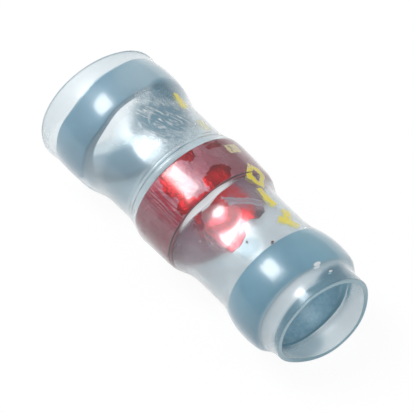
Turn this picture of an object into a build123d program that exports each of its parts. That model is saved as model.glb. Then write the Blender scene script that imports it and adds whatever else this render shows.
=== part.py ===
from build123d import *
import math
import os
from typing import NamedTuple

# Solder seal wire connector: a clear heat-shrink sleeve, drawn down over two meltable sealing
# rings and a solder ring, with a film of flux beside the solder.
# The frame: +X runs along the bore from the far end to the near end, +Z is up, and the origin is
# on the bore's axis at the middle of the solder ring. The sleeve lies on its side, and each of
# its sections has a small flat beneath, on which it rests. Half-widths are measured along Y; a
# section's height is its width times its flattening. All sizes are in millimetres and all
# angles in degrees.

# Sleeve
sleeve_wall = 0.24
seat_clearance = 0.03
ring_flattening = 0.90
resting_flat_share = 0.17

left_lip_half_width = 3.00
left_lip_length = 0.73
left_lip_flattening = 0.91
left_lip_lean = 3.9
left_lip_turn = 5.4

left_neck_half_width = 2.60
left_neck_flattening = 0.94
left_shoulder_fall = 1.25
solder_left_fall = 0.95

right_neck_half_width = 2.45
right_neck_flattening = 0.95
solder_right_fall = 0.95
right_shoulder_fall = 0.80

end_neck_half_width = 2.42
end_neck_flattening = 0.97
end_shoulder_fall = 0.55
right_lip_half_width = 2.37
right_lip_length = 1.39
right_lip_flattening = 0.99
right_lip_turn = 3.0

# Left sealing ring
left_ring_offset = 6.12
left_ring_width = 1.94
left_ring_bore_radius = 2.35
left_ring_wall = 0.38
left_ring_lean = 5.0

# Right sealing ring
right_ring_offset = 6.275
right_ring_width = 2.13
right_ring_bore_radius = 2.17
right_ring_wall = 0.38

# Both sealing rings
sealing_ring_crown = 0.10
sealing_ring_edge_radius = 0.20

# Solder ring
solder_ring_width = 2.50
solder_bore_radius = 2.28
solder_ring_wall = 0.33
solder_ring_crown = 0.03
solder_ring_taper = 0.10
solder_ring_edge_radius = 0.14

# All three rings
bore_chamfer = 0.06

# Flux film
flux_thickness = 0.07
flux_gap = 0.06
flux_length = 2.55
flux_far_length = 0.45
flux_long_side = 26.0
flux_bay_radius = 0.50
flux_bay_angles = (-52, -12, 28, 68)


class Ring(NamedTuple):
    """One ring in the sleeve: its place along X, its section, its bore and its lean."""
    centre: float
    width: float
    bore_radius: float
    wall: float
    crown: float
    taper: float
    edge_radius: float
    lean: float

    def half_width(self, dx):
        """The ring's half-width along Y, at dx from its middle; its wall is thinnest on top."""
        full = (self.bore_radius + self.wall) / ring_flattening
        across = dx / self.width
        return full - 4 * self.crown * across ** 2 - self.taper * across

    def place(self):
        """Where the ring sits in the sleeve; a ring that leans has its top further left."""
        return Pos(self.centre, 0, 0) * Rot(0, -self.lean, 0)


class Station(NamedTuple):
    """One oval section of the sleeve's cavity: its place, half-width and flattening."""
    place: Location
    half_width: float
    flattening: float


left_ring = Ring(
    -left_ring_offset, left_ring_width, left_ring_bore_radius, left_ring_wall,
    sealing_ring_crown, 0.0, sealing_ring_edge_radius, left_ring_lean,
)
right_ring = Ring(
    right_ring_offset, right_ring_width, right_ring_bore_radius, right_ring_wall,
    sealing_ring_crown, 0.0, sealing_ring_edge_radius, 0.0,
)
middle_ring = Ring(
    0.0, solder_ring_width, solder_bore_radius, solder_ring_wall,
    solder_ring_crown, solder_ring_taper, solder_ring_edge_radius, 0.0,
)


def ring_stations(ring):
    """The cavity over a ring: its middle, and halfway round each of its outer edges."""
    reach = (ring.width - ring.edge_radius) / 2
    return [
        Station(ring.place() * Pos(dx, 0, 0), ring.half_width(dx) + seat_clearance, ring_flattening)
        for dx in (-reach, 0, reach)
    ]


def cavity_stations():
    """The sleeve's cavity from the left lip to the right lip."""
    left_end = left_ring.centre - left_ring.width / 2
    left_foot = left_ring.centre + left_ring.width / 2 + left_shoulder_fall
    solder_left = -solder_ring_width / 2 - solder_left_fall
    solder_right = solder_ring_width / 2 + solder_right_fall
    right_foot = right_ring.centre - right_ring.width / 2 - right_shoulder_fall
    right_end = right_ring.centre + right_ring.width / 2
    left_lip = Pos(left_end - left_lip_length, 0, 0) * Rot(0, -left_lip_lean, -left_lip_turn)
    right_lip = Pos(right_end + right_lip_length, 0, 0) * Rot(0, 0, -right_lip_turn)
    return [
        Station(left_lip, left_lip_half_width, left_lip_flattening),
        *ring_stations(left_ring),
        Station(Pos(left_foot, 0, 0), left_neck_half_width, left_neck_flattening),
        Station(Pos(solder_left, 0, 0), left_neck_half_width, left_neck_flattening),
        *ring_stations(middle_ring),
        Station(Pos(solder_right, 0, 0), right_neck_half_width, right_neck_flattening),
        Station(Pos(right_foot, 0, 0), right_neck_half_width, right_neck_flattening),
        *ring_stations(right_ring),
        Station(Pos(right_end + end_shoulder_fall, 0, 0), end_neck_half_width, end_neck_flattening),
        Station(right_lip, right_lip_half_width, right_lip_flattening),
    ]


def oval(half_width, half_height):
    """An oval section square to the bore's axis, with a flat beneath that is a share of it."""
    turn = math.degrees(math.acos(resting_flat_share))
    arc = EllipticalCenterArc((0, 0), half_width, half_height, -turn, arc_size=180 + 2 * turn)
    flat = Line(arc @ 1, arc @ 0)
    return Plane.YZ * make_face(arc + flat)


def cavity(outset):
    """The space inside the sleeve as a solid, or a fuller or slimmer copy of it."""
    sections = []
    for station in cavity_stations():
        half_height = station.half_width * station.flattening
        sections.append(station.place * oval(station.half_width + outset, half_height + outset))
    return loft(sections, ruled=True)


def sleeve():
    """The shrunk tube, bulged over each ring and necked in between, with open slanted lips."""
    return cavity(sleeve_wall) - cavity(0)


def bore(ring):
    """The space of a ring's bore: a round cylinder with a chamfer at each mouth."""
    end = ring.width / 2
    radius = ring.bore_radius
    mouth = radius + bore_chamfer
    outline = Polyline(
        (-ring.width, 0), (-ring.width, mouth), (-end, mouth), (bore_chamfer - end, radius),
        (end - bore_chamfer, radius), (end, mouth), (ring.width, mouth), (ring.width, 0), close=True,
    )
    return revolve(make_face(outline), Axis.X)


def ring_body(ring):
    """A ring pressed oval, with a slight crown, rounded outer edges and a round bore."""
    edge = ring.edge_radius
    shoulder = ring.width / 2 - edge
    outline = [(0, ring.half_width(0))]
    for side in (-1, 1):
        for angle in (0, 45, 90):
            turn = math.radians(angle)
            dx = side * (shoulder + edge * math.sin(turn))
            outline.append((dx, ring.half_width(side * shoulder) - edge * (1 - math.cos(turn))))
    sections = [
        Pos(dx, 0, 0) * oval(half_width, half_width * ring_flattening)
        for dx, half_width in sorted(outline)
    ]
    return ring.place() * (loft(sections, ruled=True) - bore(ring))


def flux_film():
    """The skin of flux on the cavity wall beside the solder, long on one side, with bays."""
    start = solder_ring_width / 2 + flux_gap
    across = 4 * right_neck_half_width
    middle = start + (flux_length + flux_far_length) / 2
    slant = math.degrees(math.atan2(flux_length - flux_far_length, 2 * right_neck_half_width))
    side = Rot(flux_long_side, 0, 0)
    film = cavity(-seat_clearance) & Pos(start + across / 2, 0, 0) * Box(across, across, across)
    film -= cavity(-seat_clearance - flux_thickness)
    beyond = side * Pos(middle, 0, 0) * Rot(0, slant, 0) * Pos(across, 0, 0)
    film -= beyond * Box(2 * across, 2 * across, 2 * across)
    bay = Pos(start + flux_length, 0, across / 4) * Cylinder(flux_bay_radius, across / 4)
    for angle in flux_bay_angles:
        film -= Rot(flux_long_side + angle, 0, 0) * bay
    return film


if __name__ == "__main__":
    os.makedirs("parts", exist_ok=True)
    export_step(sleeve(), "parts/sleeve.step")
    export_step(ring_body(left_ring), "parts/left_sealing_ring.step")
    export_step(ring_body(right_ring), "parts/right_sealing_ring.step")
    export_step(ring_body(middle_ring), "parts/solder_ring.step")
    export_step(flux_film(), "parts/flux_film.step")
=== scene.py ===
import math

import bmesh
import bpy
from bpy.props import (
    FloatProperty, FloatVectorProperty, IntProperty, PointerProperty,
)
from mathutils import Matrix, Vector


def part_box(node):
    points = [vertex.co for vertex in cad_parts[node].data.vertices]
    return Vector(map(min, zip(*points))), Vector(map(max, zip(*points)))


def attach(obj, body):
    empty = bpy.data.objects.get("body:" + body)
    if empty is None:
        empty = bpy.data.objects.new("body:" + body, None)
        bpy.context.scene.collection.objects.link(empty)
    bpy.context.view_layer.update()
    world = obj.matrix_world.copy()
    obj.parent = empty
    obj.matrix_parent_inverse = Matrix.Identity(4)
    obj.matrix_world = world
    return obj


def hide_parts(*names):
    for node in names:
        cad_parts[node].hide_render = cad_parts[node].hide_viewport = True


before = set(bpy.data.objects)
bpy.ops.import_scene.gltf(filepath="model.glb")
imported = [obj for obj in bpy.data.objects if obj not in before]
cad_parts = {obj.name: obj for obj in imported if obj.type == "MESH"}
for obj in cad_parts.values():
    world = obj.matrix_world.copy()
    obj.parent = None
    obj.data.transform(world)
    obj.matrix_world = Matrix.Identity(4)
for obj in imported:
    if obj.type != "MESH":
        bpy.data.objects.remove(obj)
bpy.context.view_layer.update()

bl_info = {
    "name": "Solder seal wire connector",
    "version": (1, 0, 0),
    "blender": (4, 5, 0),
    "location": "3D View > Sidebar > Connector",
    "description": "Builds the looks of a shrunk solder seal sleeve around its packed solids",
    "category": "Object",
}

MM = 0.001
BODY = "root"

# Radii at which pulls and marks are laid out, in mm.
SLEEVE_RADIUS = 3.1
NECK_RADIUS = 2.6
MARK_RADIUS = 2.9
FILM_RADIUS = 2.5

# How round each ring is: its corners' bevel, its crown and its taper, in mm.
FAR_RING_SHAPE = (0.10, 0.10, 0.0)
NEAR_RING_SHAPE = (0.10, 0.13, -0.03)
SOLDER_SHAPE = (0.06, 0.025, 0.04)
RING_STEPS = 96
# How high the rings are pressed for their width.
PRESSED = 0.90

# The lips' rounding, and how deep the film is bedded in the tube's inside, in mm.
LIP_ROUNDING = 0.05
FILM_BEDDING = 0.015
# The film's points along the tube and round it.
FILM_STEPS = 24
FILM_SIDES = 144

# The sleeve's outside, row by row from the far lip to the near lip. Each row is an oval: its
# place along X, half-width and half-height and, unless they are nought, the lean of its top to
# the left, its turn about Z and its rise, in mm and degrees.
SLEEVE_ROWS = (
    (-7.80, 3.215, 2.935, 3.9, -5.4, 0.0),
    (-7.60, 3.205, 2.915, 4.1, -4.2, -0.02),
    (-7.34, 3.185, 2.90, 4.4, -2.4, -0.04),
    (-7.04, 3.205, 2.91, 4.8, -0.8, -0.06),
    (-6.66, 3.27, 2.955, 5.0, 0.0, -0.04),
    (-6.17, 3.30, 2.985, 5.0, 0.0, 0.0),
    (-5.67, 3.275, 2.955, 5.0, 0.0, 0.04),
    (-5.27, 3.21, 2.905, 5.0, 0.0, 0.07),
    (-4.98, 3.125, 2.855, 4.2, 0.0, 0.06),
    (-4.58, 3.00, 2.78, 2.6, 0.0, 0.04),
    (-4.15, 2.90, 2.72, 1.0, 0.0, 0.02),
    (-3.60, 2.86, 2.69),
    (-2.90, 2.855, 2.685),
    (-2.30, 2.865, 2.69),
    (-1.85, 2.935, 2.735),
    (-1.45, 3.08, 2.825),
    (-1.18, 3.19, 2.90),
    (-0.90, 3.205, 2.905),
    (0.0, 3.195, 2.89),
    (0.90, 3.145, 2.85),
    (1.18, 3.11, 2.82),
    (1.42, 2.995, 2.74),
    (1.75, 2.83, 2.65),
    (2.12, 2.725, 2.585),
    (2.50, 2.69, 2.567),
    (2.90, 2.685, 2.565),
    (3.35, 2.68, 2.563),
    (3.80, 2.685, 2.565),
    (4.30, 2.69, 2.567),
    (4.70, 2.73, 2.585),
    (5.02, 2.82, 2.63),
    (5.34, 2.93, 2.70),
    (5.68, 3.025, 2.76),
    (6.05, 3.075, 2.80),
    (6.45, 3.098, 2.815),
    (6.86, 3.078, 2.80),
    (7.29, 3.015, 2.755),
    (7.50, 2.885, 2.685),
    (7.72, 2.72, 2.61),
    (7.96, 2.64, 2.58),
    (8.30, 2.615, 2.575, 0.0, -1.5, 0.0),
    (8.72, 2.60, 2.58, 0.0, -3.0, 0.0),
)

# Pulls on the far ring and the tube over it, which are not quite true: the place along X, the
# clock angle from the top towards the front, the pull along X and outward, and its reach, in
# mm and degrees.
FAR_RING_PULLS = (
    (-6.3, -40, -0.26, 0.0, 1.9),
    (-6.2, 45, 0.30, 0.0, 1.7),
    (-6.1, 110, -0.18, 0.0, 1.5),
    (-5.9, 206, 0.62, 0.0, 2.7),
)
# Where the solder and the tube over it are less full, underneath at the front.
SOLDER_PULLS = (
    (0.1, 116, 0.0, -0.075, 1.8),
    (-1.20, 102, 0.0, -0.09, 1.0),
)
# Where the near ring and the tube over it are narrower, on top at the back.
NEAR_RING_PULLS = (
    (7.44, -98, -0.13, -0.04, 1.6),
)
# The dents and soft wrinkles of the neck beside the solder, which the flux film follows.
RIGHT_NECK_PULLS = (
    (1.75, -64, 0.0, -0.11, 0.9),
    (1.70, 26, 0.0, -0.10, 0.8),
    (1.86, 24, 0.0, -0.12, 0.7),
    (2.65, 20, 0.0, 0.05, 0.6),
    (3.18, 24, 0.0, -0.22, 1.7),
)
# Where the flux film starts and ends along X, in mm from its near end, at clock angles.
FILM_START = (
    (-20, 0.0), (0, 0.10), (20, 0.18), (36, 0.12), (50, 0.0), (200, 0.0),
)
FILM_END = (
    (-50, 0.6), (-38, 0.95), (-26, 1.45), (-17, 2.12), (-8, 2.25), (2, 2.02), (10, 2.05),
    (19, 2.6), (30, 2.78), (42, 2.70), (52, 2.35), (65, 2.0), (80, 1.6), (100, 1.1),
    (120, 0.55), (160, 0.3), (206, 0.25), (260, 0.3), (300, 0.5),
)
# Where the flux film is thicker or, below nought, thinner: bars with their place along X,
# clock angle, length, width, turn and how much.
FILM_MARKS = (
    (2.90, 2, 1.9, 0.46, -42, 0.55),
    (2.24, -10, 2.0, 0.08, -54, -0.9),
    (2.37, -9, 1.8, 0.16, -53, -0.35),
    (2.51, -9, 1.6, 0.09, -51, -0.9),
    (1.95, -14, 0.7, 0.8, -54, 0.2),
    (2.60, 40, 2.4, 0.40, 0, 0.35),
)
# How softly its thicker and its thinner marks end, and how far their edges stray, in mm.
THICK_MARK_SOFTNESS = 0.14
STREAK_SOFTNESS = 0.05
FILM_SHAKE = 0.30
# The dark tip of the film's finger, and where dark lines hatch the film and the solder.
FINGER_TIP = (3.44, -13, 0.26, 7)
FILM_HATCH = (2.6, 44, 1.7, 12)
SOLDER_HATCH = (0.0, 48, 1.6, 13)
# How thick the film is, made thick and red along the lit front, which is partly painted light,
# and how much of it shows, at clock angles in radians.
FILM_BODY_AND_LIGHT = (
    (-3.1416, 0.0), (-0.9, 0.0), (-0.5, -0.15), (-0.15, 0.45), (0.10, 0.80), (0.62, 0.85),
    (0.80, 0.50), (1.0, 0.15), (1.2, -0.35), (1.5, -0.8), (3.1416, -0.8),
)
FILM_SHOWN = (
    (-3.1416, 0.1), (-1.4, 0.2), (-1.0, 1.0), (1.5, 1.0), (2.1, 0.25), (3.1416, 0.1),
)
# Where the film has thinned to nothing along X, in mm, at clock angles in radians.
FILM_THINS_OUT = (
    (-3.1416, 9.0), (0.55, 9.0), (0.75, 4.2), (0.91, 3.72), (1.13, 3.36), (1.40, 2.95),
    (1.75, 2.45), (2.10, 1.9), (3.1416, 1.6),
)
# Wet spots of flux on the solder, and red laid along the highlight, which is painted light: the
# middle along X and as a clock angle, how far each way in mm and degrees, and how thick.
WET_AND_LIT_SPOTS = (
    (0.66, -4, 0.43, 15, 1.0),
    (0.88, 38, 0.42, 11, 1.0),
    (-1.14, 3, 0.38, 7, 0.9),
    # These three lie along the highlight: painted light, the lit solder's red glow.
    (-1.16, 24, 0.16, 16, 0.9),
    (-0.25, 36, 1.5, 5, 0.8),
    (1.10, 18, 0.18, 18, 0.9),
    (-0.65, 98, 0.40, 9, 0.62),
    (-1.05, -26, 0.42, 11, 0.60),
)
# All the pulls on the tube: those above, then the lips', the left neck's and the shoulders'.
SLEEVE_PULLS = FAR_RING_PULLS + SOLDER_PULLS + NEAR_RING_PULLS + RIGHT_NECK_PULLS + (
    (-7.82, 116, 0.0, 0.14, 1.4),
    (-7.08, 116, 0.0, -0.09, 0.7),
    (-7.82, 200, 0.0, -0.05, 1.0),
    (-4.75, 116, 0.0, 0.13, 1.1),
    (-4.75, -64, 0.0, -0.05, 0.9),
    (-3.20, -64, 0.0, 0.05, 1.2),
    (-2.85, 26, 0.0, -0.12, 1.3),
    (-1.75, 116, 0.0, -0.08, 0.7),
    (7.85, -64, 0.0, -0.12, 0.9),
    (7.60, 116, 0.0, 0.06, 0.7),
    (8.30, 24, 0.0, 0.05, 0.5),
    (8.72, 140, -0.20, -0.05, 2.6),
    (8.72, -90, -0.12, -0.04, 2.2),
    (8.72, 40, 0.04, 0.02, 1.2),
)
# How hazy the tube is along its length.
HAZE = (
    (-8.2, 0.40), (-7.74, 0.30), (-7.60, 0.05), (-7.0, 0.05), (-5.1, 0.05), (-4.7, 0.12),
    (-3.0, 0.12), (-2.0, 0.07), (-1.5, 0.0), (1.5, 0.0), (2.2, 0.08), (4.6, 0.11), (5.4, 0.03),
    (7.44, 0.03), (7.52, 0.22), (8.1, 0.20), (8.5, 0.10), (8.9, 0.05),
)
# Painted shade: where the tube's plastic is painted blue-grey, as over the floor's shadow seen
# through it and to dim highlights: the middle along X and as a clock angle, how far each way in
# mm and degrees, and how much.
PAINTED_SHADE_PATCHES = (
    (-3.05, 66, 1.15, 46, 0.125),
    (-5.00, -44, 0.65, 24, 0.22),
    (4.0, 86, 1.3, 30, 0.08),
    (4.3, 0, 0.8, 22, 0.05),
    (4.55, 25, 0.55, 13, 0.12),
    (7.80, 166, 0.75, 28, 0.13),
    (8.45, 206, 0.45, 50, 0.05),
    (8.25, -35, 0.45, 32, 0.22),
    (8.55, 40, 0.27, 70, 0.32),
)
# Where the tube is dull: the far lip's outside, the left neck's start, the near lip's inside.
DULL = ((-7.75, 26, 0.55, 50, 1.0), (-4.20, 24, 0.55, 22, 0.5), (8.45, 206, 0.75, 60, 1.0))
# The pale band on the near shoulder, and the haze over the far ring.
BAND = (7.84, 48, 0.40, 62)
UPPER_HAZE = (-5.9, -45, 1.4, 45)
# Where the left neck is creased.
CREASED = (-3.52, -9, 1.40, 26)
# The fine ridges where the tube meets the solder, by height along X.
RIDGES = ((-2.1, 0.0), (-1.92, 0.55), (-1.80, 0.1), (-1.66, 1.0), (-1.50, 0.0))
# Painted highlights: where the tube falls away from the solder, and two small ones on the near
# shoulder.
PAINTED_HIGHLIGHTS = ((1.36, 24, 0.14, 30), (7.46, -12, 0.08, 4), (8.04, -20, 0.05, 2.2))
# Painted shade: dark lines in the step where the tube leaves the solder's edge.
EDGE_SHADE_LINES = ((1.21, 78, 0.045, 42), (1.21, -14, 0.045, 24), (1.20, 30, 0.028, 36))
# Plain marks printed on the tube: the place along X, the clock angle, length, width and turn,
# and how much ink is left.
MARKS = (
    (-4.28, -45, 0.90, 0.46, 0, 1.0),
    (-2.51, -45, 0.75, 0.45, 0, 0.5),
    (-0.41, -41, 0.60, 0.80, 0, 0.6),
    (2.70, -34, 1.25, 0.42, 0, 1.0),
    (4.12, -36, 1.15, 0.42, 38, 1.0),
    (4.55, -29, 1.05, 0.42, -38, 0.95),
)
# The hollow mark: the place along X, the clock angle, its side and its hole's side.
HOLLOW_MARK = (1.38, -42, 1.05, 0.45)
# How softly the printed marks end, and how far their edges stray, in mm.
INK_SOFTNESS = 0.04
INK_SHAKE = 0.22
# Dark specks in the tube: the place along X, the clock angle, and how far each way.
SPECKS = ((4.25, 23, 0.055, 1.2), (5.21, 5, 0.075, 1.6))

# The tube's plastic where it is clear, and the blue-grey of its painted shade.
PALE_PLASTIC = (0.89, 0.95, 0.98)
BLUE_GREY_SHADE = (0.25, 0.43, 0.52)
# Its creases' painted shade, its rims' painted glow, its painted highlights, the dark of its
# specks and of the painted shade by the solder's edge, and the light that it lets through.
CREASE_SHADE = (0.17, 0.30, 0.38)
CREASE_LIGHT_SHADE = (0.74, 0.81, 0.85)
RIM_GLOW_COLOUR = (0.36, 0.56, 0.65)
PAINTED_HIGHLIGHT_COLOUR = (0.95, 0.96, 0.98)
SPECK_AND_EDGE_SHADE_COLOUR = (0.07, 0.03, 0.045)
LIGHT_THROUGH = (0.93, 0.96, 0.97)
# Painted light: the sealing rings' paler top side, its clock angle, and their bores' paler colour.
RING_TOP_LIGHT_COLOUR = (0.36, 0.63, 0.74)
RING_LIT_SIDE = -64
BORE_LIGHT_COLOUR = (0.42, 0.60, 0.70)
# The solder: flux dust, drawn lines, hatching and the deepest flux.
DUST_COLOUR = (0.36, 0.115, 0.145)
DRAWN_COLOUR = (0.45, 0.07, 0.10)
SOLDER_HATCH_COLOUR = (0.38, 0.03, 0.055)
DEEP_FLUX_COLOUR = (0.17, 0.002, 0.007)
# The flux film: where it is thin, which away from the lit front is partly painted shade, its drawn
# lines, hatching, pale streak, dark tip and bubbles.
THIN_FILM_COLOUR = (0.34, 0.20, 0.26)
FILM_LINE_COLOUR = (0.42, 0.08, 0.11)
FILM_HATCH_COLOUR = (0.26, 0.015, 0.04)
STREAK_COLOUR = (0.74, 0.62, 0.67)
TIP_COLOUR = (0.10, 0.03, 0.05)
BUBBLE_COLOUR = (0.85, 0.80, 0.84)

# The camera's aim off the origin, to the right and up, and how near and far it sees, in metres;
# its sensor's width in mm.
CAMERA_AIM = (0.07 * MM, -0.04 * MM, 0)
CLIPPING = (0.01, 4.0)
SENSOR_WIDTH = 36.0
# The way from the origin to the softbox, its distance and the floor's side, in metres.
TO_SOFTBOX = (-0.485, -0.254, 0.837)
SOFTBOX_DISTANCE = 0.15
FLOOR_SIZE = 3.0
# How much of the floor is plain white where the camera sees it, and seen through the tube, and
# how bright that white is.
FLOOR_SEEN_WHITE = 0.92
FLOOR_THROUGH_WHITE = 0.60
FLOOR_WHITE = 1.02


# Sizes and colours that a user would change

class SleeveSettings(bpy.types.PropertyGroup):
    """The clear shrunk tube."""
    wall: FloatProperty(
        name="Wall", description="Thickness of the shrunk tube",
        default=0.24 * MM, unit="LENGTH", precision=6)
    sides: IntProperty(
        name="Sides", description="Points round the tube before it is smoothed", default=36)
    tint: FloatVectorProperty(
        name="Tint", description="Colour the tube's plastic gives to light that passes",
        default=(0.40, 0.68, 0.76), subtype="COLOR", size=3)
    density: FloatProperty(
        name="Tint density", description="How fast the plastic takes up its tint, per metre",
        default=260.0)
    ink: FloatVectorProperty(
        name="Ink", description="Colour of the printed marks",
        default=(0.90, 0.74, 0.02), subtype="COLOR", size=3)


class RingSettings(bpy.types.PropertyGroup):
    """The two meltable sealing rings."""
    left_place: FloatProperty(
        name="Left place", description="The far ring's middle along the tube",
        default=-6.12 * MM, unit="LENGTH", precision=6)
    left_width: FloatProperty(
        name="Left width", description="The far ring's width along the tube",
        default=1.94 * MM, unit="LENGTH", precision=6)
    left_bore: FloatProperty(
        name="Left bore", description="Radius of the far ring's bore",
        default=2.35 * MM, unit="LENGTH", precision=6)
    left_outside: FloatProperty(
        name="Left outside", description="Half-height of the far ring",
        default=2.775 * MM, unit="LENGTH", precision=6)
    left_lean: FloatProperty(
        name="Left lean", description="How far the far ring's top leans to the left",
        default=math.radians(5.0), subtype="ANGLE")
    right_place: FloatProperty(
        name="Right place", description="The near ring's middle along the tube",
        default=6.325 * MM, unit="LENGTH", precision=6)
    right_width: FloatProperty(
        name="Right width", description="The near ring's width along the tube",
        default=2.23 * MM, unit="LENGTH", precision=6)
    right_bore: FloatProperty(
        name="Right bore", description="Radius of the near ring's bore",
        default=2.17 * MM, unit="LENGTH", precision=6)
    right_outside: FloatProperty(
        name="Right outside", description="Half-height of the near ring",
        default=2.595 * MM, unit="LENGTH", precision=6)
    left_colour: FloatVectorProperty(
        name="Left colour", description="Colour of the far ring's plastic",
        default=(0.165, 0.325, 0.43), subtype="COLOR", size=3)
    right_colour: FloatVectorProperty(
        name="Right colour", description="Colour of the near ring's plastic",
        default=(0.130, 0.305, 0.41), subtype="COLOR", size=3)


class SolderSettings(bpy.types.PropertyGroup):
    """The solder ring and the flux beside it."""
    width: FloatProperty(
        name="Width", description="The solder ring's width along the tube",
        default=2.50 * MM, unit="LENGTH", precision=6)
    bore: FloatProperty(
        name="Bore", description="Radius of the solder ring's bore",
        default=2.28 * MM, unit="LENGTH", precision=6)
    outside: FloatProperty(
        name="Outside", description="Half-height of the solder ring",
        default=2.67 * MM, unit="LENGTH", precision=6)
    film: FloatProperty(
        name="Film thickness", description="Thickness of the flux film",
        default=0.07 * MM, unit="LENGTH", precision=6)
    flux_colour: FloatVectorProperty(
        name="Flux colour", description="Colour of the flux where it lies thick",
        default=(0.42, 0.003, 0.008), subtype="COLOR", size=3)
    film_colour: FloatVectorProperty(
        name="Film colour", description="Colour of the flux film where it is thickest",
        default=(0.58, 0.014, 0.024), subtype="COLOR", size=3)
    metal_colour: FloatVectorProperty(
        name="Metal colour", description="Colour of the solder under a thin coat of flux",
        default=(0.46, 0.20, 0.235), subtype="COLOR", size=3)


class StageSettings(bpy.types.PropertyGroup):
    """The camera, the light and the floor."""
    azimuth: FloatProperty(
        name="Azimuth", description="Where the camera stands round the object",
        default=math.radians(51.3), subtype="ANGLE")
    elevation: FloatProperty(
        name="Elevation", description="How far the camera is above the horizon",
        default=math.radians(51.6), subtype="ANGLE")
    distance: FloatProperty(
        name="Distance", description="From the camera to the object",
        default=0.5, unit="LENGTH")
    lens: FloatProperty(
        name="Lens", description="Focal length in millimetres", default=948.0)
    softbox_size: FloatProperty(
        name="Softbox size", description="Side of the square softbox",
        default=0.058, unit="LENGTH")
    softbox_power: FloatProperty(
        name="Softbox power", description="Power of the softbox", default=0.116, unit="POWER")
    room_light: FloatProperty(
        name="Room light", description="Strength of the light that comes from all round",
        default=0.50)


# Helpers for shaping

def deselect():
    """Leaves edit mode and selects nothing."""
    if bpy.context.object is not None and bpy.context.object.mode != "OBJECT":
        bpy.ops.object.mode_set(mode="OBJECT")
    bpy.ops.object.select_all(action="DESELECT")


def select_only(piece):
    """Makes one piece the selected and active object."""
    deselect()
    piece.select_set(True)
    bpy.context.view_layer.objects.active = piece


def edit(piece):
    """Opens a piece in edit mode with all of it selected."""
    select_only(piece)
    bpy.ops.object.mode_set(mode="EDIT")
    bpy.ops.mesh.select_all(action="SELECT")


def select_points(piece, wanted):
    """In edit mode, selects the points whose place makes wanted(place) true."""
    mesh = bmesh.from_edit_mesh(piece.data)
    bpy.ops.mesh.select_all(action="DESELECT")
    bpy.context.tool_settings.mesh_select_mode = (True, False, False)
    for point in mesh.verts:
        point.select = wanted(point.co)
    mesh.select_flush_mode()
    bmesh.update_edit_mesh(piece.data)


def settle(piece):
    """Puts the piece's place into its mesh, so that its object sits at the origin."""
    select_only(piece)
    bpy.ops.object.transform_apply(location=True, rotation=True, scale=True)


def modify(piece, kind, **settings):
    """Adds a modifier with these settings and applies it."""
    select_only(piece)
    modifier = piece.modifiers.new(kind.title(), kind)
    for name, value in settings.items():
        setattr(modifier, name, value)
    bpy.ops.object.modifier_apply(modifier=modifier.name)


def smooth(piece, levels):
    """Subdivides the piece by smooth curves."""
    modify(piece, "SUBSURF", levels=levels, render_levels=levels)


def shade(piece, angle=40):
    """Shades the piece smooth, with edges sharper than the angle kept."""
    select_only(piece)
    bpy.ops.object.shade_smooth_by_angle(angle=math.radians(angle))


def finish_piece(piece, material, slot, *nodes):
    """Gives a piece its material and body, and hides the CAD nodes that it stands for. The slot is
    not used.
    """
    piece.data.materials.clear()
    piece.data.materials.append(material)
    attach(piece, BODY)
    if nodes:
        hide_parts(*nodes)


def swell(sides):
    """How much larger a ring of this many points is drawn, so that it smooths to its true size."""
    return 3 / (2 + math.cos(2 * math.pi / sides))


def grow_tube(name, rows, sides):
    """An open tube extruded row by row from a circle, each row resized and turned as listed."""
    deselect()
    bpy.ops.mesh.primitive_circle_add(
        vertices=sides, radius=MM, fill_type="NOTHING",
        location=(rows[0][0] * MM, 0, 0), rotation=(0, math.pi / 2, 0))
    tube = bpy.context.object
    tube.name = name
    settle(tube)
    edit(tube)
    grow = swell(sides)
    last = (rows[0][0], 1 / grow, 1 / grow, 0.0, 0.0, 0.0)
    for step, row in enumerate(rows):
        row = (*row, 0.0, 0.0, 0.0)[:6]
        if step:
            bpy.ops.mesh.extrude_edges_indiv()
        centre = (last[0] * MM, 0, last[5] * MM)
        turn_points(last[3], "Y", centre)
        turn_points(-last[4], "Z", centre)
        bpy.ops.transform.resize(
            value=(1, row[1] / last[1], row[2] / last[2]), center_override=centre)
        bpy.ops.transform.translate(
            value=((row[0] - last[0]) * MM, 0, (row[5] - last[5]) * MM))
        centre = (row[0] * MM, 0, row[5] * MM)
        turn_points(row[4], "Z", centre)
        turn_points(-row[3], "Y", centre)
        last = row
    bpy.ops.object.mode_set(mode="OBJECT")
    return tube


def pull(piece, pulls, radius):
    """Pulls places of a piece along X and outward, each with a soft fall-off round it."""
    edit(piece)
    for x, clock, along, outward, reach in pulls:
        out = Vector((0, -math.sin(math.radians(clock)), math.cos(math.radians(clock))))
        target = Vector((x * MM, 0, 0)) + out * radius
        mesh = bmesh.from_edit_mesh(piece.data)
        nearest = min((point.co.copy() for point in mesh.verts),
                      key=lambda place: (place - target).length)
        select_points(piece, lambda place: (place - nearest).length < 1e-8)
        bpy.ops.transform.translate(
            value=(along * MM, out.y * outward * MM, out.z * outward * MM),
            use_proportional_edit=True, proportional_edit_falloff="SMOOTH",
            proportional_size=reach * MM)
    bpy.ops.object.mode_set(mode="OBJECT")


def turn_points(angle, axis, centre):
    """Turns the selected points anticlockwise by an angle in degrees. With no window,
    transform.rotate turns the other way, so the angle's sign is changed."""
    if angle:
        bpy.ops.transform.rotate(
            value=-math.radians(angle), orient_axis=axis, center_override=centre)


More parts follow.
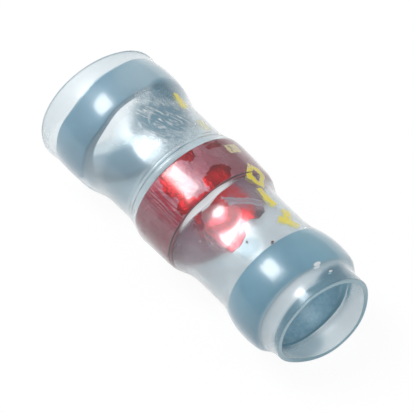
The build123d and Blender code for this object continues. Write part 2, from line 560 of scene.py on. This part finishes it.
def spin_ring(name, place, width, bore, outside, shape):
    """A ring spun about X from a rounded section; its outside is then pressed oval."""
    deselect()
    middle = (bore + outside) / 2
    edge, crown, taper = (size * MM for size in shape)
    bpy.ops.mesh.primitive_plane_add(
        size=1, location=(place, 0, middle), rotation=(math.pi / 2, 0, 0))
    ring = bpy.context.object
    ring.name = name
    ring.scale = (width, outside - bore, 1)
    settle(ring)
    edit(ring)
    bpy.ops.mesh.bevel(affect="VERTICES", offset=edge, segments=3)
    bpy.ops.mesh.select_all(action="SELECT")
    bpy.ops.mesh.delete(type="ONLY_FACE")
    select_points(ring, lambda p: p.z > outside - 1e-7)
    bpy.ops.mesh.subdivide(number_cuts=5)
    select_points(ring, lambda p: p.z < bore + 1e-7)
    bpy.ops.mesh.subdivide(number_cuts=5)
    mesh = bmesh.from_edit_mesh(ring.data)
    for point in mesh.verts:
        across = (point.co.x - place) / (width / 2)
        if point.co.z > middle:
            point.co.z -= crown * across ** 2 + taper * across
    bmesh.update_edit_mesh(ring.data)
    bpy.ops.mesh.select_all(action="SELECT")
    bpy.ops.mesh.spin(
        steps=RING_STEPS, angle=2 * math.pi, center=(place, 0, 0), axis=(1, 0, 0))
    bpy.ops.mesh.select_all(action="SELECT")
    bpy.ops.mesh.remove_doubles(threshold=1e-6)
    bpy.ops.mesh.normals_make_consistent(inside=False)
    select_points(ring, lambda p: math.hypot(p.y, p.z) > middle)
    bpy.ops.transform.resize(value=(1, 1 / PRESSED, 1), center_override=(place, 0, 0))
    bpy.ops.object.mode_set(mode="OBJECT")
    return ring


def press_flat(piece, level):
    """Presses the part of a piece that is below a level flat, as where it lies on a bench."""
    edit(piece)
    select_points(piece, lambda p: p.z < level)
    bpy.ops.transform.resize(value=(1, 1, 0), center_override=(0, 0, level))
    bpy.ops.object.mode_set(mode="OBJECT")


# Helpers for materials

class Finish:
    """A node material as it is put together, on the piece's own coordinates in millimetres."""

    def __init__(self, name):
        self.material = bpy.data.materials.new(name)
        self.material.use_nodes = True
        self.tree = self.material.node_tree
        self.tree.nodes.clear()
        self.output = self.node("ShaderNodeOutputMaterial")
        self.coords = self.node("ShaderNodeTexCoord").outputs["Object"]

    def node(self, kind, inputs=(), **settings):
        """A node with these settings; an input is a value or another node's output."""
        node = self.tree.nodes.new(kind)
        for name, value in settings.items():
            setattr(node, name, value)
        for socket, value in dict(inputs).items():
            if isinstance(value, bpy.types.NodeSocket):
                self.tree.links.new(value, node.inputs[socket])
            else:
                node.inputs[socket].default_value = value
        return node

    def noise(self, along, round_it, detail=3.0, roughness=0.5, distortion=0.0, shift=0.0,
              turn=0.0):
        """Noise with this many cells a millimetre along the tube and round it, turned about Z
        by an angle in degrees."""
        place = self.coords
        if turn:
            place = self.node("ShaderNodeVectorRotate", {
                "Vector": place, "Angle": -math.radians(turn)}, rotation_type="Z_AXIS").outputs[0]
        place = self.node("ShaderNodeMapping", {
            "Vector": place, "Location": (shift, shift, shift),
            "Scale": (along / MM, round_it / MM, round_it / MM)}).outputs[0]
        return self.node("ShaderNodeTexNoise", {
            "Vector": place, "Scale": 1.0, "Detail": detail, "Roughness": roughness,
            "Distortion": distortion}).outputs["Fac"]

    def scale(self, value, low, high, to_low=0.0, to_high=1.0):
        """Maps low..high of a value onto to_low..to_high, smoothly and clamped."""
        return self.node("ShaderNodeMapRange", {
            "Value": value, "From Min": low, "From Max": high, "To Min": to_low,
            "To Max": to_high}, interpolation_type="SMOOTHSTEP").outputs[0]

    def math(self, operation, a, b=0.0):
        """One sum on two values."""
        return self.node("ShaderNodeMath", {0: a, 1: b}, operation=operation).outputs[0]

    def blend(self, share, a, b):
        """Colour a turning into colour b as share goes from 0 to 1."""
        a, b = (c if isinstance(c, bpy.types.NodeSocket) else opaque(c) for c in (a, b))
        return self.node("ShaderNodeMix", {
            0: share, 6: a, 7: b}, data_type="RGBA").outputs[2]

    def times(self, a, b):
        """The product of two values."""
        return self.math("MULTIPLY", a, b)

    def minus(self, a, b):
        """A value less another one."""
        return self.math("SUBTRACT", a, b)

    def add(self, value, more, share=1.0):
        """A value with this share of another one added to it."""
        return self.math("ADD", value, self.times(more, share))

    def wander(self, along, round_it, **settings):
        """Noise about nought, to shake an outline with."""
        return self.minus(self.noise(along, round_it, **settings), 0.5)

    def bump(self, height, strength, depth, normal=None):
        """A bump of this depth in millimetres, on top of another normal."""
        inputs = {"Height": height, "Strength": strength, "Distance": depth * MM}
        if normal is not None:
            inputs["Normal"] = normal
        return self.node("ShaderNodeBump", inputs).outputs[0]

    def part(self, vector, axis):
        """One axis of a vector."""
        return self.node("ShaderNodeSeparateXYZ", {0: vector}).outputs[axis]

    def place(self, axis):
        """The place along one axis in millimetres."""
        return self.times(self.part(self.coords, axis), 1 / MM)

    def profile(self, value, marks):
        """A value that follows these marks, each a place and its height, evenly in between."""
        first, last = marks[0][0], marks[-1][0]
        low, high = min(mark[1] for mark in marks), max(mark[1] for mark in marks)
        curve = self.node("ShaderNodeValToRGB", {
            0: self.node("ShaderNodeMapRange", {
                "Value": value, "From Min": first, "From Max": last}).outputs[0]})
        ramp = curve.color_ramp.elements
        for place, _ in marks[1:-1]:
            ramp.new((place - first) / (last - first))
        for element, (place, height) in zip(ramp, marks):
            grey = (height - low) / (high - low)
            element.position = (place - first) / (last - first)
            element.color = (grey, grey, grey, 1)
        return self.math("ADD", self.times(curve.outputs[0], high - low), low)

    def clock(self):
        """The angle from the top towards the front, in radians."""
        front = self.times(self.part(self.coords, 1), -1.0)
        return self.math("ARCTAN2", front, self.part(self.coords, 2))

    def patch(self, along, clock, middle, angle, reach, spread):
        """One near a place on the tube, fading to nought past an oval edge; the oval reaches so
        far each way along X in mm and round the tube in degrees."""
        u = self.math("DIVIDE", self.minus(along, middle), reach)
        facing = self.math("COSINE", self.minus(clock, math.radians(angle)))
        v = self.math("DIVIDE", self.math("ARCCOSINE", facing), math.radians(spread))
        away = self.math("ADD", self.times(u, u), self.times(v, v))
        return self.scale(away, 0.36, 1.96, 1.0, 0.0)

    def patches(self, along, clock, spots):
        """The largest of several patches at each place; a spot may end with its own share."""
        return self.most([
            self.times(self.patch(along, clock, *spot[:4]), (*spot, 1.0)[4]) for spot in spots])

    def most(self, values):
        """The largest of several values at each place."""
        found = values[0]
        for value in values[1:]:
            found = self.math("MAXIMUM", found, value)
        return found

    def bar(self, along, around, middle, length, width, turn, soft):
        """One inside a bar, nought outside it; its middle is a place along the tube and round
        it, and its edges fade over twice the softness, all in mm."""
        along = self.minus(along, middle[0])
        around = self.minus(around, middle[1])
        c, s = math.cos(math.radians(turn)), math.sin(math.radians(turn))
        u = self.math("ADD", self.times(along, c), self.times(around, s))
        v = self.minus(self.times(around, c), self.times(along, s))
        beyond = self.most([
            self.minus(self.math("ABSOLUTE", u), length / 2),
            self.minus(self.math("ABSOLUTE", v), width / 2)])
        return self.scale(beyond, -soft, soft, 1.0, 0.0)

    def surface(self, shader):
        """Joins a shader to the output and returns the finished material."""
        self.tree.links.new(shader, self.output.inputs["Surface"])
        return self.material

    def lamp_passes(self, shader, tint):
        """Lets rays from lamps, and soft light, straight through a clear piece."""
        path = self.node("ShaderNodeLightPath")
        passed = self.most([path.outputs["Is Shadow Ray"], path.outputs["Is Diffuse Ray"]])
        clear = self.node("ShaderNodeBsdfTransparent", {"Color": opaque(tint)})
        return self.node("ShaderNodeMixShader", {
            0: passed, 1: shader, 2: clear.outputs[0]}).outputs[0]


def opaque(colour):
    """A colour with full alpha, as the sockets take it."""
    return (*colour, 1.0)


def printed_marks(made, along, clock):
    """How much ink covers the tube: plain bars and one hollow lozenge, with worn edges."""
    shake = made.wander(3.0, 3.0, shift=5.5)
    along = made.add(along, shake, INK_SHAKE)
    around = made.add(made.times(clock, MARK_RADIUS), shake, INK_SHAKE)
    bars = []
    for x, angle, length, width, turn, share in MARKS:
        middle = (x, math.radians(angle) * MARK_RADIUS)
        bar = made.bar(along, around, middle, length, width, turn, INK_SOFTNESS)
        bars.append(made.times(bar, share))
    x, angle, side, hole = HOLLOW_MARK
    middle = (x, math.radians(angle) * MARK_RADIUS)
    outer = made.bar(along, around, middle, side, side, 45, INK_SOFTNESS)
    inner = made.bar(along, around, middle, hole, hole, 45, INK_SOFTNESS)
    inked = made.most([*bars, made.minus(outer, inner)])
    worn = made.scale(made.noise(2.2, 5.0, detail=4.0, roughness=0.7, shift=2.6), 0.30, 0.50)
    return made.times(inked, worn)


def sleeve_finish(settings):
    """Clear glossy shrunk tube: fine draw lines, soft wrinkles, creases, haze and printed marks."""
    made = Finish("clear_shrunk_tube")
    along, clock = made.place(0), made.clock()
    lines = made.noise(0.35, 9.0, detail=4.0, roughness=0.6)
    wrinkles = made.noise(0.7, 1.0, detail=2.0, roughness=0.45, shift=3.1)
    scratches = made.scale(made.noise(
        1.1, 5.0, detail=4.0, roughness=0.7, distortion=1.0, shift=4.4, turn=24), 0.50, 0.66)
    broken = made.scale(made.noise(0.8, 1.2, detail=3.0, distortion=0.8, shift=9.9), 0.28, 0.43)
    shake = made.wander(1.1, 1.3, detail=4.0, roughness=0.6, shift=8.1)
    creases = made.times(broken, made.patch(
        made.add(along, shake, 3.2), made.add(clock, shake, 1.1), *CREASED))
    cloud = made.scale(made.noise(0.6, 1.1, detail=4.0, roughness=0.62, shift=7.7), 0.35, 0.7)
    haze = made.times(made.profile(along, HAZE), made.add(0.7, cloud, 0.5))
    haze = made.add(haze, made.patch(along, clock, *UPPER_HAZE), 0.16)
    band = made.times(made.patch(along, clock, *BAND), 0.38)
    painted_shade = made.patches(along, clock, PAINTED_SHADE_PATCHES)
    dull = made.patches(along, clock, DULL)
    painted_highlight = made.patches(along, clock, PAINTED_HIGHLIGHTS)
    edges = made.patches(along, clock, EDGE_SHADE_LINES)
    specks = made.patches(along, clock, SPECKS)
    faces = made.node("ShaderNodeNewGeometry").outputs["Normal"]
    # Painted glow: the lip's cut end, which faces along X, is painted blue as if lit through the
    # wall.
    rim_glow = made.scale(made.part(faces, 0), 0.55, 0.9)
    ink = printed_marks(made, along, clock)
    normal = made.bump(lines, 0.25, 0.008)
    normal = made.bump(wrinkles, 0.10, 0.06, normal)
    normal = made.bump(made.profile(along, RIDGES), 0.5, 0.03, normal)
    normal = made.bump(made.times(creases, scratches), 0.6, 0.05, normal)
    # Painted shade: blue-grey patches where the tube is made darker.
    colour = made.blend(made.scale(painted_shade, 0.02, 0.22), PALE_PLASTIC, BLUE_GREY_SHADE)
    # Painted shade in the left neck's creases, in deep and paler tones along the scratches.
    colour = made.blend(creases, colour, made.blend(scratches, CREASE_SHADE, CREASE_LIGHT_SHADE))
    colour = made.blend(rim_glow, colour, RIM_GLOW_COLOUR)
    # Painted highlights: near-white spots where the tube catches the light.
    colour = made.blend(painted_highlight, colour, PAINTED_HIGHLIGHT_COLOUR)
    colour = made.blend(ink, colour, settings.ink)
    # Dark specks, and painted shade in the step by the solder's edge.
    colour = made.blend(made.most([specks, edges]), colour, SPECK_AND_EDGE_SHADE_COLOUR)
    covered = made.most([
        haze, band, painted_shade, ink, specks, made.times(creases, 0.9), made.times(rim_glow, 0.8),
        made.times(painted_highlight, 0.8), made.times(edges, 0.6)])
    clear = made.node("ShaderNodeBsdfPrincipled", {
        "Base Color": colour,
        "Roughness": made.add(made.scale(covered, 0.0, 1.0, 0.15, 0.45), dull, 0.30),
        "IOR": 1.46,
        "Transmission Weight": made.minus(1.0, covered),
        "Coat Weight": made.minus(1.0, dull), "Coat Roughness": 0.27,
        "Sheen Weight": 0.5, "Sheen Roughness": 0.3,
        "Normal": normal})
    absorbed = made.node("ShaderNodeVolumeAbsorption", {
        "Color": opaque(settings.tint), "Density": settings.density})
    made.tree.links.new(absorbed.outputs[0], made.output.inputs["Volume"])
    return made.surface(made.lamp_passes(clear.outputs[0], LIGHT_THROUGH))


def sealing_finish(name, plain, bore):
    """Satin blue sealing plastic, a little cloudy, with faint lines along it; light painted on its
    top side and in its bore.
    """
    made = Finish(name)
    clouds = made.noise(0.5, 0.6, detail=4.0, roughness=0.55, shift=1.7)
    grain = made.noise(5.0, 5.0, detail=3.0, roughness=0.7, shift=6.3)
    lines = made.noise(0.5, 7.0, detail=3.0, shift=4.0)
    deep = tuple(c * 0.90 for c in plain)
    pale = tuple(min(1.0, c * 1.10 + 0.015) for c in plain)
    colour = made.blend(made.scale(clouds, 0.25, 0.8), deep, pale)
    colour = made.blend(made.scale(lines, 0.5, 0.8, 0.0, 0.15), colour, pale)
    colour = made.blend(made.scale(grain, 0.5, 0.75, 0.0, 0.2), colour, deep)
    # Painted light: the rings are made paler on their top side, where the light falls.
    from_lit_side = made.minus(made.clock(), math.radians(RING_LIT_SIDE))
    top_light = made.scale(made.math("COSINE", from_lit_side), 0.3, 1.0, 0.0, 0.44)
    colour = made.blend(top_light, colour, RING_TOP_LIGHT_COLOUR)
    # Painted light: the bore, which lies in shade, is painted paler in speckles.
    across, height = made.place(1), made.place(2)
    radius = made.math("SQRT", made.add(made.times(across, across), height, height))
    inside = made.times(
        made.scale(radius, bore + 0.03, bore + 0.10, 1.0, 0.0),
        made.scale(grain, 0.35, 0.65, 0.25, 0.5))
    colour = made.blend(inside, colour, BORE_LIGHT_COLOUR)
    normal = made.bump(grain, 0.25, 0.015, made.bump(lines, 0.25, 0.012))
    shader = made.node("ShaderNodeBsdfPrincipled", {
        "Base Color": colour, "Roughness": made.scale(clouds, 0.3, 0.7, 0.42, 0.55),
        "IOR": 1.5, "Subsurface Weight": 0.12, "Subsurface Radius": (0.2, 0.35, 0.5),
        "Subsurface Scale": 0.6 * MM, "Sheen Weight": 0.6, "Sheen Roughness": 0.35,
        "Normal": normal})
    return made.surface(shader.outputs[0])


def solder_finish(settings):
    """Solder under flux: dull pink metal with drawn lines, and blobs of saturated red, some of it
    laid along the highlight as painted light.
    """
    made = Finish("fluxed_solder")
    along, clock = made.place(0), made.clock()
    clouds = made.noise(0.9, 0.9, detail=5.0, roughness=0.62, shift=2.3)
    blobs = made.noise(2.2, 2.0, detail=3.0, roughness=0.55, distortion=0.35, shift=5.2)
    lines = made.noise(0.5, 12.0, detail=3.0, shift=8.8)
    shake = made.wander(2.3, 2.0, detail=4.0, shift=1.1)
    # Wet spots of flux, with red laid along the highlight, which is painted light.
    wet_and_lit = made.patches(made.add(along, shake, 0.9), made.add(clock, shake, 0.45), WET_AND_LIT_SPOTS)
    thick = made.scale(made.add(wet_and_lit, made.minus(blobs, 0.5)), 0.42, 0.60)
    hatched = made.times(made.patch(along, clock, *SOLDER_HATCH), made.scale(lines, 0.44, 0.56))
    dusty = made.blend(made.scale(clouds, 0.32, 0.66), settings.metal_colour, DUST_COLOUR)
    dusty = made.blend(made.scale(lines, 0.45, 0.70, 0.0, 0.35), dusty, DRAWN_COLOUR)
    dusty = made.blend(hatched, dusty, SOLDER_HATCH_COLOUR)
    flux_and_glow_red = made.blend(made.scale(clouds, 0.35, 0.62), settings.flux_colour, DEEP_FLUX_COLOUR)
    normal = made.bump(clouds, 0.4, 0.05, made.bump(lines, 0.5, 0.02))
    normal = made.bump(made.scale(blobs, 0.4, 0.8), 0.5, 0.06, normal)
    shader = made.node("ShaderNodeBsdfPrincipled", {
        "Base Color": made.blend(thick, dusty, flux_and_glow_red),
        "Metallic": made.scale(thick, 0.0, 1.0, 0.75, 0.85),
        "Roughness": made.scale(thick, 0.0, 1.0, 0.55, 0.34),
        "IOR": 1.5, "Specular IOR Level": 0.2, "Normal": normal})
    return made.surface(shader.outputs[0])


def flux_finish(settings):
    """Wet flux: a translucent red film, thin and purple-grey in places, with small bubbles; it is
    thickest and reddest along the lit front, which is partly painted light.
    """
    made = Finish("red_flux_film")
    along, clock = made.place(0), made.clock()
    clouds = made.noise(0.8, 0.9, detail=4.0, roughness=0.6, shift=6.1)
    bubbles = made.noise(7.0, 7.0, detail=1.0, shift=9.4)
    lines = made.noise(0.5, 10.0, detail=3.0, shift=3.3)
    shake = made.wander(1.8, 1.8, detail=3.0, shift=7.3)
    shaken = made.add(along, shake, FILM_SHAKE)
    around = made.add(made.times(clock, FILM_RADIUS), shake, FILM_SHAKE)
    # Partly painted light: the film is thick and red along the lit front, thin and purple-grey away
    # from it.
    body, streaks = made.profile(clock, FILM_BODY_AND_LIGHT), []
    for x, angle, length, width, turn, more in FILM_MARKS:
        soft = THICK_MARK_SOFTNESS if more > 0 else STREAK_SOFTNESS
        middle = (x, math.radians(angle) * FILM_RADIUS)
        mark = made.bar(shaken, around, middle, length, width, turn, soft)
        body = made.add(body, mark, more)
        if more < 0:
            streaks.append(made.times(mark, -more))
    thick = made.scale(made.add(clouds, body, 0.40), 0.45, 0.90)
    hatched = made.times(made.patch(along, clock, *FILM_HATCH), made.scale(lines, 0.46, 0.56))
    dots = made.times(made.scale(bubbles, 0.70, 0.76), made.scale(clock, 0.5, 0.8))
    colour = made.blend(thick, THIN_FILM_COLOUR, settings.film_colour)
    colour = made.blend(made.scale(lines, 0.5, 0.75, 0.0, 0.5), colour, FILM_LINE_COLOUR)
    colour = made.blend(hatched, colour, FILM_HATCH_COLOUR)
    colour = made.blend(made.times(made.most(streaks), 0.8), colour, STREAK_COLOUR)
    colour = made.blend(made.patch(along, clock, *FINGER_TIP), colour, TIP_COLOUR)
    colour = made.blend(dots, colour, BUBBLE_COLOUR)
    left = made.minus(made.profile(clock, FILM_THINS_OUT), along)
    shown = made.times(made.profile(clock, FILM_SHOWN), made.scale(left, 0.0, 0.7))
    normal = made.bump(clouds, 0.6, 0.08, made.bump(bubbles, 0.5, 0.03))
    shader = made.node("ShaderNodeBsdfPrincipled", {
        "Base Color": colour, "Roughness": 0.32, "IOR": 1.5, "Specular IOR Level": 0.3,
        "Metallic": made.scale(thick, 0.0, 1.0, 0.2, 0.7),
        "Alpha": made.times(shown, made.scale(thick, 0.0, 1.0, 0.50, 0.95)),
        "Normal": normal})
    return made.surface(shader.outputs[0])


# One operator for each piece or group

class CONNECTOR_OT_sleeve(bpy.types.Operator):
    """Grows the clear tube row by row, gives it its wall and rounds its lips"""
    bl_idname = "connector.sleeve"
    bl_label = "Clear sleeve"

    def execute(self, context):
        settings = context.scene.connector_sleeve
        tube = grow_tube("clear_sleeve", SLEEVE_ROWS, settings.sides)
        pull(tube, SLEEVE_PULLS, SLEEVE_RADIUS * MM)
        smooth(tube, 2)
        press_flat(tube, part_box("sleeve")[0].z)
        edit(tube)
        bpy.ops.mesh.remove_doubles(threshold=1e-7)
        bpy.ops.mesh.normals_make_consistent(inside=False)
        bpy.ops.object.mode_set(mode="OBJECT")
        point_outward(tube)
        modify(tube, "SOLIDIFY", thickness=settings.wall, offset=-1, use_even_offset=True)
        modify(tube, "BEVEL", width=LIP_ROUNDING * MM, segments=3, limit_method="ANGLE",
               angle_limit=math.radians(60))
        shade(tube, 60)
        finish_piece(tube, sleeve_finish(settings), "clear_sleeve", "sleeve")
        return {"FINISHED"}


def point_outward(tube):
    """Turns an open tube's faces outward if they point at the X axis."""
    face = tube.data.polygons[len(tube.data.polygons) // 2]
    if face.normal.dot(Vector((0, face.center.y, face.center.z))) < 0:
        edit(tube)
        bpy.ops.mesh.flip_normals()
        bpy.ops.object.mode_set(mode="OBJECT")


class CONNECTOR_OT_sealing_rings(bpy.types.Operator):
    """Spins the two blue sealing rings and pulls them a little out of true"""
    bl_idname = "connector.sealing_rings"
    bl_label = "Sealing rings"

    def execute(self, context):
        settings = context.scene.connector_rings
        left = spin_ring(
            "blue_ring_left", settings.left_place, settings.left_width, settings.left_bore,
            settings.left_outside, FAR_RING_SHAPE)
        edit(left)
        turn_points(-math.degrees(settings.left_lean), "Y", (settings.left_place, 0, 0))
        bpy.ops.object.mode_set(mode="OBJECT")
        pull(left, FAR_RING_PULLS, settings.left_outside)
        shade(left)
        finish_piece(
            left, sealing_finish("blue_plastic_far", settings.left_colour, settings.left_bore / MM),
            "blue_sealant", "left_sealing_ring")
        right = spin_ring(
            "blue_ring_right", settings.right_place, settings.right_width,
            settings.right_bore, settings.right_outside, NEAR_RING_SHAPE)
        pull(right, NEAR_RING_PULLS, settings.right_outside)
        shade(right)
        finish_piece(
            right,
            sealing_finish("blue_plastic_near", settings.right_colour, settings.right_bore / MM),
            "blue_sealant", "right_sealing_ring")
        return {"FINISHED"}


class CONNECTOR_OT_solder_ring(bpy.types.Operator):
    """Spins the solder ring"""
    bl_idname = "connector.solder_ring"
    bl_label = "Solder ring"

    def execute(self, context):
        settings = context.scene.connector_solder
        ring = spin_ring(
            "solder_ring_fluxed", 0.0, settings.width, settings.bore, settings.outside,
            SOLDER_SHAPE)
        pull(ring, SOLDER_PULLS, settings.outside)
        shade(ring)
        finish_piece(ring, solder_finish(settings), "fluxed_solder", "solder_ring")
        return {"FINISHED"}


class CONNECTOR_OT_flux_film(bpy.types.Operator):
    """Grows the flux film along the tube's inside beside the solder"""
    bl_idname = "connector.flux_film"
    bl_label = "Flux film"

    def execute(self, context):
        settings = context.scene.connector_solder
        wall = context.scene.connector_sleeve.wall / MM
        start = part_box("flux_film")[0].x / MM
        rows = [(step / FILM_STEPS, FILM_RADIUS, FILM_RADIUS) for step in range(FILM_STEPS + 1)]
        film = grow_tube("flux_film_red", rows, FILM_SIDES)
        for point in film.data.vertices:
            clock = math.degrees(math.atan2(-point.co.y, point.co.z))
            low, high = reach_at(FILM_START, clock), reach_at(FILM_END, clock)
            x = start + low + (high - low) * point.co.x / MM
            half_width, half_height = tube_inside(x, wall)
            turn = math.atan2(point.co.z, point.co.y)
            point.co = (
                x * MM, half_width * MM * math.cos(turn), half_height * MM * math.sin(turn))
        pull(film, RIGHT_NECK_PULLS, NECK_RADIUS * MM)
        point_outward(film)
        modify(film, "SOLIDIFY", thickness=settings.film, offset=-1, use_even_offset=True)
        shade(film, 60)
        finish_piece(film, flux_finish(settings), "red_flux", "flux_film")
        return {"FINISHED"}


def reach_at(marks, clock):
    """A reach at a clock angle, eased between the marks of a closed edge."""
    closed = marks + ((marks[0][0] + 360, marks[0][1]),)
    turned = (clock - marks[0][0]) % 360 + marks[0][0]
    for (first, low), (last, high) in zip(closed, closed[1:]):
        if first <= turned <= last:
            share = (turned - first) / (last - first)
            return low + (high - low) * share * share * (3 - 2 * share)
    raise ValueError("the marks of an edge leave out a clock angle")


def tube_inside(x, wall):
    """Half-width and half-height of the film's outside at a place along the tube, in mm."""
    gap = wall - FILM_BEDDING
    for before, after in zip(SLEEVE_ROWS, SLEEVE_ROWS[1:]):
        if before[0] <= x <= after[0]:
            share = (x - before[0]) / (after[0] - before[0])
            return tuple(
                before[k] + (after[k] - before[k]) * share - gap for k in (1, 2))
    raise ValueError("the film reaches past the tube")


class CONNECTOR_OT_stage(bpy.types.Operator):
    """Sets the floor, the softbox, the room light and the camera"""
    bl_idname = "connector.stage"
    bl_label = "Stage"

    def execute(self, context):
        settings = context.scene.connector_stage
        floor_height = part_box("sleeve")[0].z
        deselect()
        bpy.ops.mesh.primitive_plane_add(size=FLOOR_SIZE, location=(0, 0, floor_height))
        floor = context.object
        floor.name = "floor"
        floor.data.materials.append(floor_finish())

        around, up = settings.azimuth, settings.elevation
        to_camera = Vector((
            math.sin(around) * math.cos(up), -math.cos(around) * math.cos(up), math.sin(up)))
        turned = (-to_camera).to_track_quat("-Z", "Y")
        aim = turned @ Vector(CAMERA_AIM)
        camera = bpy.data.cameras.new("camera")
        camera.lens = settings.lens
        camera.sensor_width = SENSOR_WIDTH
        camera.clip_start, camera.clip_end = CLIPPING
        holder = bpy.data.objects.new("camera", camera)
        holder.location = aim + to_camera * settings.distance
        holder.rotation_mode = "QUATERNION"
        holder.rotation_quaternion = turned
        context.scene.collection.objects.link(holder)
        context.scene.camera = holder

        to_softbox = Vector(TO_SOFTBOX).normalized()
        light = bpy.data.lights.new("softbox", "AREA")
        light.shape = "SQUARE"
        light.size = settings.softbox_size
        light.energy = settings.softbox_power
        lamp = bpy.data.objects.new("softbox", light)
        lamp.location = to_softbox * SOFTBOX_DISTANCE
        across = Vector((1, 0, 0)) - to_softbox * to_softbox.x
        across.normalize()
        lamp.rotation_euler = Matrix(
            (across, to_softbox.cross(across), to_softbox)).transposed().to_euler()
        lamp.visible_camera = False
        context.scene.collection.objects.link(lamp)

        context.scene.world = room(settings.room_light)
        context.scene.view_settings.view_transform = "Standard"
        return {"FINISHED"}


def floor_finish():
    """A white floor that shows as white and keeps the object's soft shadow."""
    made = Finish("white_floor")
    grain = made.noise(0.05, 0.05, detail=3.0)
    paper = made.node("ShaderNodeBsdfPrincipled", {
        "Base Color": made.blend(grain, (0.90, 0.90, 0.90), (0.92, 0.92, 0.92)),
        "Roughness": 0.9})
    glow = made.node(
        "ShaderNodeEmission", {"Color": opaque((1, 1, 1)), "Strength": FLOOR_WHITE})
    path = made.node("ShaderNodeLightPath")
    through = made.most([path.outputs["Is Glossy Ray"], path.outputs["Is Transmission Ray"]])
    share = made.most([
        made.times(path.outputs["Is Camera Ray"], FLOOR_SEEN_WHITE),
        made.times(through, FLOOR_THROUGH_WHITE)])
    mixed = made.node("ShaderNodeMixShader", {0: share, 1: paper.outputs[0], 2: glow.outputs[0]})
    return made.surface(mixed.outputs[0])


def room(strength):
    """A pale world: plain light for surfaces, and white where it is seen, also through glass."""
    world = bpy.data.worlds.new("room")
    world.use_nodes = True
    tree = world.node_tree
    background = tree.nodes["Background"]
    path = tree.nodes.new("ShaderNodeLightPath")
    seen = tree.nodes.new("ShaderNodeMath")
    seen.operation = "MAXIMUM"
    level = tree.nodes.new("ShaderNodeMapRange")
    level.inputs["To Min"].default_value = strength
    level.inputs["To Max"].default_value = 1.0
    tree.links.new(path.outputs["Is Camera Ray"], seen.inputs[0])
    tree.links.new(path.outputs["Is Transmission Ray"], seen.inputs[1])
    tree.links.new(seen.outputs[0], level.inputs["Value"])
    tree.links.new(level.outputs[0], background.inputs["Strength"])
    background.inputs["Color"].default_value = (1, 1, 1, 1)
    return world


class CONNECTOR_PT_panel(bpy.types.Panel):
    """Lists the connector's pieces in build order"""
    bl_label = "Solder seal connector"
    bl_idname = "CONNECTOR_PT_panel"
    bl_space_type = "VIEW_3D"
    bl_region_type = "UI"
    bl_category = "Connector"

    def draw(self, context):
        for operator in OPERATORS:
            self.layout.operator(operator.bl_idname)
        for group in SETTINGS:
            box = self.layout.box()
            box.label(text=group.__doc__)
            held = getattr(context.scene, SETTINGS[group])
            for name in group.__annotations__:
                box.prop(held, name)


SETTINGS = {
    SleeveSettings: "connector_sleeve",
    RingSettings: "connector_rings",
    SolderSettings: "connector_solder",
    StageSettings: "connector_stage",
}
OPERATORS = (
    CONNECTOR_OT_sleeve, CONNECTOR_OT_sealing_rings, CONNECTOR_OT_solder_ring,
    CONNECTOR_OT_flux_film, CONNECTOR_OT_stage,
)


def register():
    """Makes the settings, the operators and the panel known to Blender."""
    for group, name in SETTINGS.items():
        bpy.utils.register_class(group)
        setattr(bpy.types.Scene, name, PointerProperty(type=group))
    for operator in OPERATORS:
        bpy.utils.register_class(operator)
    bpy.utils.register_class(CONNECTOR_PT_panel)


def unregister():
    """Takes them out again."""
    bpy.utils.unregister_class(CONNECTOR_PT_panel)
    for operator in reversed(OPERATORS):
        bpy.utils.unregister_class(operator)
    for group, name in SETTINGS.items():
        delattr(bpy.types.Scene, name)
        bpy.utils.unregister_class(group)


def main():
    """Builds every piece in order."""
    register()
    bpy.ops.connector.sleeve()
    bpy.ops.connector.sealing_rings()
    bpy.ops.connector.solder_ring()
    bpy.ops.connector.flux_film()
    bpy.ops.connector.stage()


if __name__ == "__main__":
    main()
